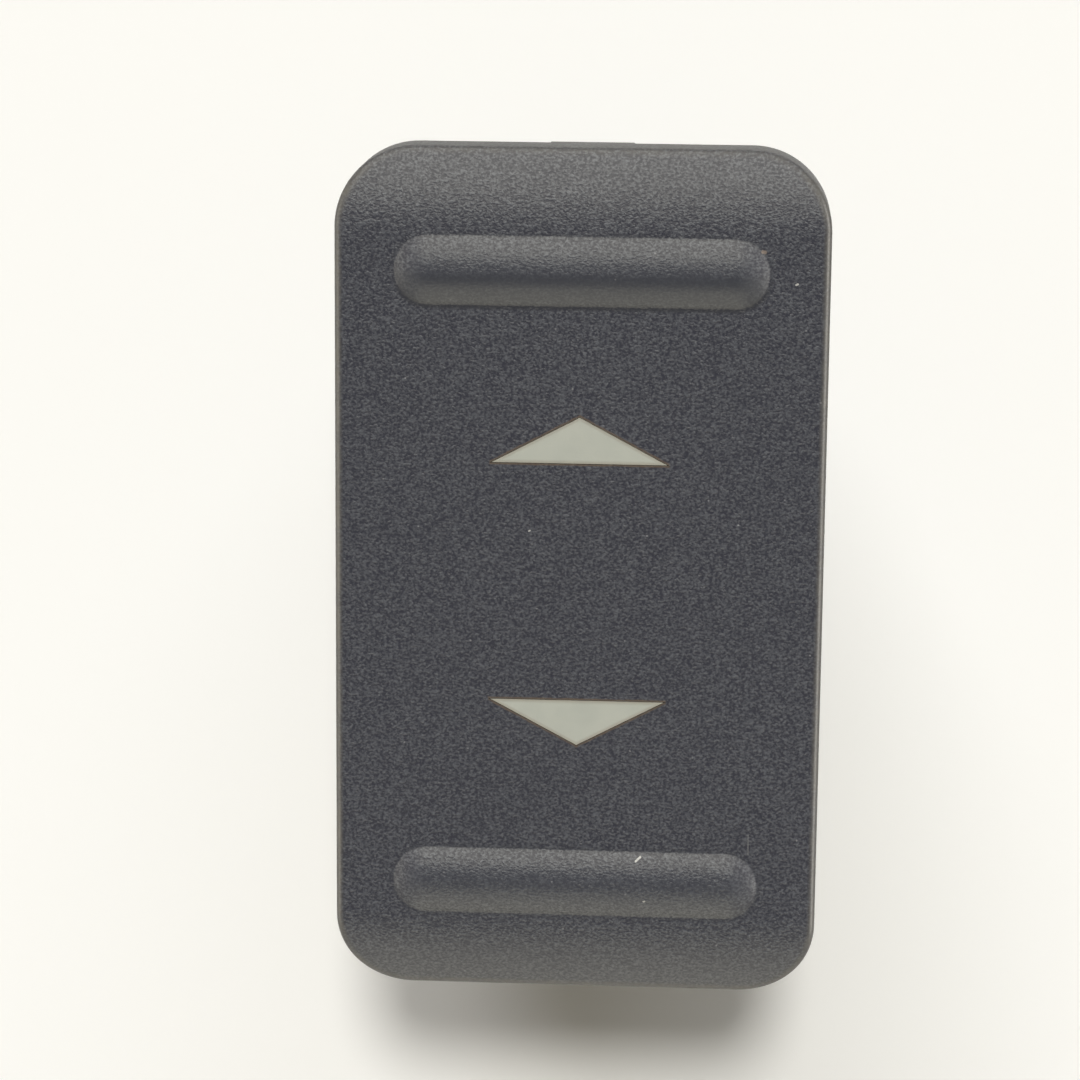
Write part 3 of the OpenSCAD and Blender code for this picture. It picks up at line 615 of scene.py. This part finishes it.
    def specks(self, per_mm, radius_mm):
        """Mask of small specks strewn over the face, of uneven strength."""
        cells = self.add("ShaderNodeTexVoronoi", {"Vector": self.place, "Scale": per_mm / MM},
                         voronoi_dimensions="2D").outputs
        reach = radius_mm * per_mm
        strength = self.add("ShaderNodeSeparateColor", {"Color": cells["Color"]}).outputs[0]
        return self.times(self.fade(cells["Distance"], 0.5 * reach, reach), strength)


def grain_tone(g, grain):
    """Dark hollows and paler tops of the cap's grain, a little uneven over the face."""
    contrast, offset = 3.0, -1.19
    height = g.calc("MULTIPLY_ADD", grain, contrast, offset)
    return g.mix(height, GRAIN_HOLLOWS, g.mix(g.noise(0.08, detail=3.0), *GRAIN_TOPS))


def shaded_slope_mask(g):
    """Mask of the upper bar's lower slope, which faces away from the light and is painted in shade."""
    _, y, _ = g.xyz_mm()
    from_slope = g.apart(y, BAR_Y - BAR_HALF_W / 2)
    return g.times(g.fade(from_slope, 0.6, 1.1), g.fade(g.bar_reach(), -0.15, 0))


def bar_foot_shade(g):
    """Mask of painted shade at the foot of the bars, most of it below the upper one."""
    _, y, _ = g.xyz_mm()
    from_foot = g.apart(g.bar_reach(), 0.06)
    from_lower_side = g.apart(y, BAR_Y - BAR_HALF_W)
    return g.times(g.fade(from_foot, 0.04, 0.28), g.ramp(from_lower_side, 0.4, 1.6, 0.9, 0.25))


def face_marks(g, tone):
    """Brown rims round the arrows, the marks that the photo shows, and dust."""
    ragged_reach = g.calc("MULTIPLY_ADD", g.noise(3.0), 0.12, g.arrow_reach())
    tone = g.mix(g.fade(ragged_reach, 0.12, 0.24), tone, ARROW_RIM)
    tone = g.mix(g.streak(*SPECK), tone, BROWN_SPECK)
    tone = g.mix(g.times(g.streak(*SCRATCH), 0.5), tone, SCRATCHED)
    for mark in LINT:
        tone = g.mix(g.streak(*mark), tone, PALE_LINT)
    return g.mix(g.times(g.specks(0.22, 0.07), 0.5), tone, DUST)


def edge_wear_and_highlight(g, inset, wall):
    """Mask of the cap's upper edge, lighter from wear and from a painted highlight, less so at the upper
    end.
    """
    _, y, _ = g.xyz_mm()
    edge = g.calc("SUBTRACT", g.fade(inset, 0.12, 0.56), wall)
    patchy = g.times(g.calc("MAXIMUM", edge, 0), g.spread(g.noise(1.2, detail=3.0), 0.5, 1))
    return g.times(patchy, g.ramp(y, HALF_L - 2.5, HALF_L - 0.8, 1, 0.3))


def cap_material(name):
    """Black moulded plastic with a fine leather grain and the marks of use."""
    g = Graph(name)
    grain = g.noise(6.0, detail=1.0, distortion=0.4, place=g.stretched(1, 0.8, 1))
    inset = g.edge_inset()
    wall = g.upright()
    ends = g.bar_ends()
    shaded_slope = shaded_slope_mask(g)

    tone = grain_tone(g, grain)
    crest = g.ramp(g.xyz_mm()["Z"], FACE_Z + 0.3, BAR_TOP_Z, 0, 0.4)
    tone = g.mix(crest, tone, BAR_CREST)
    # Painted shade on the upper bar's lower slope
    tone = g.mix(g.times(shaded_slope, 0.6), tone, SLOPE_SHADE)
    # Painted shade at the foot of the bars, darkest under the upper one
    tone = g.mix(bar_foot_shade(g), tone, FOOT_SHADE)
    tone = face_marks(g, tone)
    tone = g.mix(g.times(wall, 0.6), tone, SIDE_WALL)
    # Lighter upper edge, partly wear and partly a painted highlight
    tone = g.mix(edge_wear_and_highlight(g, inset, wall), tone, WORN_AND_HIGHLIT_EDGE)

    # How much rougher the edge, the walls and the ends of the bars are
    on_edge, on_walls, on_ends = 0.06, 0.14, 0.18
    rough = g.calc("ADD", g.spread(grain, 0.36, 0.28), g.ramp(inset, *GRAIN_START, on_edge, 0))
    rough = g.calc("MULTIPLY_ADD", wall, on_walls, rough)
    rough = g.calc("MULTIPLY_ADD", ends, on_ends, rough)

    # Share of the relief that the walls, and the bars' ends and the upper bar's lower slope, keep
    wall_relief, smooth_relief = 0.6, 0.25
    relief = g.calc("MAXIMUM", g.ramp(inset, *GRAIN_START), g.times(wall, wall_relief))
    relief = g.times(relief, g.ramp(g.calc("MAXIMUM", ends, shaded_slope), 0, 1, 1, smooth_relief))
    g.shade({
        "Base Color": tone,
        "Roughness": rough,
        "Specular IOR Level": 0.45,
        "Normal": g.bump(grain, 0.04, strength=relief),
    })
    return g.material


def guide_material(name):
    """Pale plastic of the arrows, browner towards their outline."""
    g = Graph(name)
    tone = g.mix(g.noise(0.5, detail=3.0), (0.345, 0.362, 0.325), (0.402, 0.410, 0.365))
    tone = g.mix(g.ramp(g.arrow_reach(), -0.25, -0.02, 0, 0.55), tone, (0.22, 0.19, 0.15))
    g.shade({
        "Base Color": tone,
        "Roughness": g.spread(g.noise(2.0), 0.36, 0.48),
        "Normal": g.bump(g.noise(5.0), 0.008),
    })
    return g.material


def plastic(name, dark, light, rough, texture_per_mm, depth_mm, pitted, edge_mm):
    """Moulded plastic: cloudy tone, fine eroded texture and rounded edges that are a little scuffed."""
    g = Graph(name)
    rounded, edges = g.soft_edges(edge_mm)
    texture = g.noise(texture_per_mm, detail=1.0, distortion=0.4)
    pit_tone = tuple(0.2 * c for c in dark)
    scuff_tone = tuple(min(1.8 * c + 0.03, 0.85) for c in light)
    tone = g.mix(g.noise(0.15, detail=4.0), dark, light)
    tone = g.mix(g.ramp(texture, 0.4, 0.6, pitted, 0), tone, pit_tone)
    scuffed = g.times(edges, g.ramp(g.noise(1.4, detail=3.0), 0.4, 0.65, 0.15, 0.9))
    g.shade({
        "Base Color": g.mix(scuffed, tone, scuff_tone),
        "Roughness": g.spread(g.noise(0.6, detail=3.0), rough - 0.06, rough + 0.06),
        "Normal": g.bump(texture, depth_mm, rounded),
    })
    return g.material


def metal(name, clean, dull, rough, drawn):
    """Stamped or drawn metal with fine lines along its drawn axis and a patchy tarnish."""
    g = Graph(name)
    rounded, edges = g.soft_edges(radius_mm=0.06)
    lines = g.noise(14.0, detail=1.0, place=g.stretched(*drawn))
    tarnish = g.ramp(g.noise(0.35), 0.35, 0.75)
    edge_tone = tuple(1.15 * c for c in clean)
    lined_rough = g.spread(lines, rough - 0.03, rough + 0.03)
    g.shade({
        "Base Color": g.mix(g.times(tarnish, 0.5), g.mix(edges, clean, edge_tone), dull),
        "Metallic": 1.0,
        "Roughness": g.calc("MULTIPLY_ADD", tarnish, 0.1, lined_rough),
        "Normal": g.bump(lines, 0.0006, rounded),
    })
    return g.material


def board_material(name):
    """Green solder resist over a glass weave, with paler tracks."""
    g = Graph(name)
    x, y, _ = g.xyz_mm()
    weave_rate, track_rate = 14.0, 5.2
    weave = g.times(g.wave(x, weave_rate), g.wave(y, weave_rate))
    tracks = g.ramp(g.wave(x, track_rate), 0.75, 0.85)
    tone = g.mix(g.noise(0.4, detail=3.0), (0.035, 0.16, 0.07), (0.05, 0.21, 0.09))
    g.shade({
        "Base Color": g.mix(tracks, tone, (0.09, 0.30, 0.13)),
        "Roughness": 0.3,
        "Normal": g.bump(g.calc("MULTIPLY_ADD", weave, 0.25, tracks), 0.02),
    })
    return g.material


def led_material(name):
    """White lamp body with a yellow fill in its cup."""
    low, high = in_mm(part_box("led_up"))
    middle = (low + high) / 2
    g = Graph(name)
    x, y, z = g.xyz_mm()
    across = g.calc("SUBTRACT", x, middle.x)
    along = g.calc("SUBTRACT", g.calc("ABSOLUTE", y), middle.y)
    above = g.calc("GREATER_THAN", z, high.z - LED_CUP_DEPTH)
    cup = g.times(g.fade(g.diagonal(across, along), LED_CUP_R - 0.08, LED_CUP_R), above)
    body = g.mix(g.noise(0.8, detail=3.0), (0.70, 0.69, 0.63), (0.80, 0.79, 0.74))
    fill = g.mix(g.noise(1.5, detail=3.0), (0.74, 0.52, 0.07), (0.80, 0.62, 0.14))
    g.shade({
        "Base Color": g.mix(cup, body, fill),
        "Roughness": g.spread(g.noise(2.0), 0.2, 0.34),
        "Normal": g.bump(g.noise(4.0), 0.006),
    })
    return g.material


def resistor_material(name):
    """Dark glazed body with tinned ends."""
    low, high = in_mm(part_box("lamp_resistor"))
    size, middle = high - low, (low + high) / 2
    axis = max(range(3), key=lambda k: size[k])
    g = Graph(name)
    tinned_from = 0.32 * size[axis]
    ends = g.calc("GREATER_THAN", g.apart(g.xyz_mm()[axis], middle[axis]), tinned_from)
    body = g.mix(g.noise(1.0, detail=3.0), (0.018, 0.018, 0.02), (0.035, 0.034, 0.036))
    g.shade({
        "Base Color": g.mix(ends, body, (0.66, 0.66, 0.64)),
        "Metallic": ends,
        "Roughness": g.spread(g.noise(2.0), 0.25, 0.4),
        "Normal": g.bump(g.noise(3.0), 0.01),
    })
    return g.material


def dress(slot, make_material, **looks):
    """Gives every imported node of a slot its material."""
    material = make_material(slot, **looks)
    for part in frame["record"]["subparts"]:
        if part["material_slot"] == slot:
            nodes[part["node"]].material_slots[0].material = material


def seen_directly(tree):
    """Share that is 1 where the camera, a reflection or a clear piece looks at the surroundings."""
    path = tree.nodes.new("ShaderNodeLightPath")
    total = path.outputs["Is Camera Ray"]
    for kind in ("Is Glossy Ray", "Is Transmission Ray"):
        both = tree.nodes.new("ShaderNodeMath")
        both.operation = "MAXIMUM"
        tree.links.new(total, both.inputs[0])
        tree.links.new(path.outputs[kind], both.inputs[1])
        total = both.outputs[0]
    return total


def make_floor():
    """Plain pale floor under the part, with a faint glow where it is seen directly."""
    low = cad_box[0].z
    corners = [(-1, -1), (1, -1), (1, 1), (-1, 1)]
    points = [(x * FLOOR_HALF, y * FLOOR_HALF, low) for x, y in corners]
    floor = new_object("floor", points, [(0, 1, 2, 3)])
    g = Graph("floor_pale")
    glow = g.times(seen_directly(g.tree), 0.04)
    g.shade({
        "Base Color": (0.9, 0.9, 0.9, 1),
        "Roughness": 0.9,
        "Specular IOR Level": 0.1,
        "Emission Color": (1, 0.98, 0.93, 1),
        "Emission Strength": glow,
    })
    floor.data.materials.append(g.material)


def make_lamp(name, kind, direction, energy, colour):
    """Lamp that shines from a direction towards the part."""
    lamp = bpy.data.lights.new(name, kind)
    lamp.energy = energy
    lamp.color = colour
    made = add_to_scene(name, lamp)
    made.rotation_euler = Vector(direction).to_track_quat("Z", "Y").to_euler()
    return made


def make_soft_light(name, direction, angle, energy, colour):
    """Even soft light from one side, which the glossy surfaces see as the cards instead."""
    made = make_lamp(name, "SUN", direction, energy, colour)
    made.data.angle = math.radians(angle)
    made.visible_glossy = False


def make_card(name, direction, size, energy, colour):
    """Large soft card that only shows as a reflection."""
    back = Vector(direction).normalized()
    made = make_lamp(name, "AREA", back, energy, colour)
    made.data.shape = "RECTANGLE"
    made.data.size, made.data.size_y = size
    made.location = back * CARD_DISTANCE
    made.visible_diffuse = False


def make_world():
    """Dim warm light from all round, and pale surroundings where they are seen directly."""
    world = bpy.data.worlds.new("studio")
    bpy.context.scene.world = world
    world.use_nodes = True
    tree = world.node_tree
    tree.nodes.clear()
    out = tree.nodes.new("ShaderNodeOutputWorld")
    light = tree.nodes.new("ShaderNodeBackground")
    light.inputs["Color"].default_value = (1, 0.9, 0.68, 1)
    light.inputs["Strength"].default_value = 0.15
    seen = tree.nodes.new("ShaderNodeBackground")
    seen.inputs["Color"].default_value = (0.87, 0.89, 0.93, 1)
    mix = tree.nodes.new("ShaderNodeMixShader")
    tree.links.new(seen_directly(tree), mix.inputs["Fac"])
    tree.links.new(light.outputs[0], mix.inputs[1])
    tree.links.new(seen.outputs[0], mix.inputs[2])
    tree.links.new(mix.outputs[0], out.inputs["Surface"])


def make_camera():
    """Camera of the photograph: its place over the face was fitted to the cap's outline."""
    focal_px = 3486.6
    image_px = 1080
    sensor = 36.0
    face_in_view = Vector((2.175, -2.465, -199.554)) * MM
    tilt, swing, roll = (math.radians(a) for a in (12.041, -3.352, -0.509))
    turn = Matrix.Rotation(roll, 4, "Z") @ Matrix.Rotation(tilt, 4, "X") @ Matrix.Rotation(swing, 4, "Y")
    data = bpy.data.cameras.new("camera")
    data.sensor_width = sensor
    data.lens = sensor * focal_px / image_px
    data.clip_start = 0.01
    camera = add_to_scene("camera", data)
    face_middle = Matrix.Translation((0, 0, FACE_Z * MM))
    camera.matrix_world = face_middle @ turn.transposed() @ Matrix.Translation(-face_in_view)
    bpy.context.scene.camera = camera


# View
bpy.context.scene.view_settings.view_transform = "Standard"
make_camera()

# Rocker cap and springs
make_cap(cap_material("cap_plastic"))
steel = metal("spring_steel", clean=(0.52, 0.53, 0.55), dull=(0.34, 0.33, 0.32),
              rough=0.26, drawn=(1, 1, 4))
for side in ("left", "right"):
    make_spring(side, steel)

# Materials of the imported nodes
dress("guide_plastic", guide_material)
dress("housing_plastic", plastic, dark=(0.020, 0.020, 0.022), light=(0.032, 0.032, 0.034),
      rough=0.48, texture_per_mm=4.0, depth_mm=0.03, pitted=0.5, edge_mm=0.16)
dress("base_plastic", plastic, dark=(0.034, 0.034, 0.036), light=(0.048, 0.048, 0.049),
      rough=0.46, texture_per_mm=5.0, depth_mm=0.02, pitted=0.5, edge_mm=0.14)
dress("plunger_plastic", plastic, dark=(0.72, 0.69, 0.60), light=(0.80, 0.78, 0.70),
      rough=0.32, texture_per_mm=2.0, depth_mm=0.005, pitted=0.08, edge_mm=0.08)
dress("blade_copper", metal, clean=(0.62, 0.33, 0.18), dull=(0.38, 0.20, 0.12),
      rough=0.3, drawn=(1, 6, 1))
dress("contact_silver", metal, clean=(0.66, 0.65, 0.62), dull=(0.46, 0.43, 0.38),
      rough=0.24, drawn=(1, 1, 1))
dress("terminal_brass", metal, clean=(0.58, 0.43, 0.18), dull=(0.40, 0.28, 0.12),
      rough=0.28, drawn=(1, 1, 8))
dress("board_green", board_material)
dress("led_body", led_material)
dress("resistor_body", resistor_material)

# Floor and light
make_floor()
make_world()
make_soft_light("key", direction=(0.055, 0.512, 1.0), angle=8.5, energy=2.0, colour=(1, 0.985, 0.92))
make_soft_light("fill_left", direction=(-0.2, 1.0, 0.6), angle=25, energy=1.5, colour=(0.98, 0.978, 0.97))
make_soft_light("fill_right", direction=(0.3, 1.0, 0.6), angle=35, energy=0.65, colour=(0.95, 0.98, 1.03))
make_card("card_front", direction=(0.0, 0.82, 0.57), size=(0.9, 1.0), energy=8.9, colour=(1, 0.965, 0.82))
make_card("card_back", direction=(0.0, -0.927, 0.375), size=(0.9, 0.8), energy=4.1, colour=(1, 0.95, 0.76))
make_card("card_left", direction=(-0.961, 0.0, 0.276), size=(0.8, 0.4), energy=3.1, colour=(1, 0.94, 0.78))
make_card("card_right", direction=(0.978, 0.0, 0.208), size=(0.8, 0.3), energy=5.2, colour=(1, 0.97, 0.90))
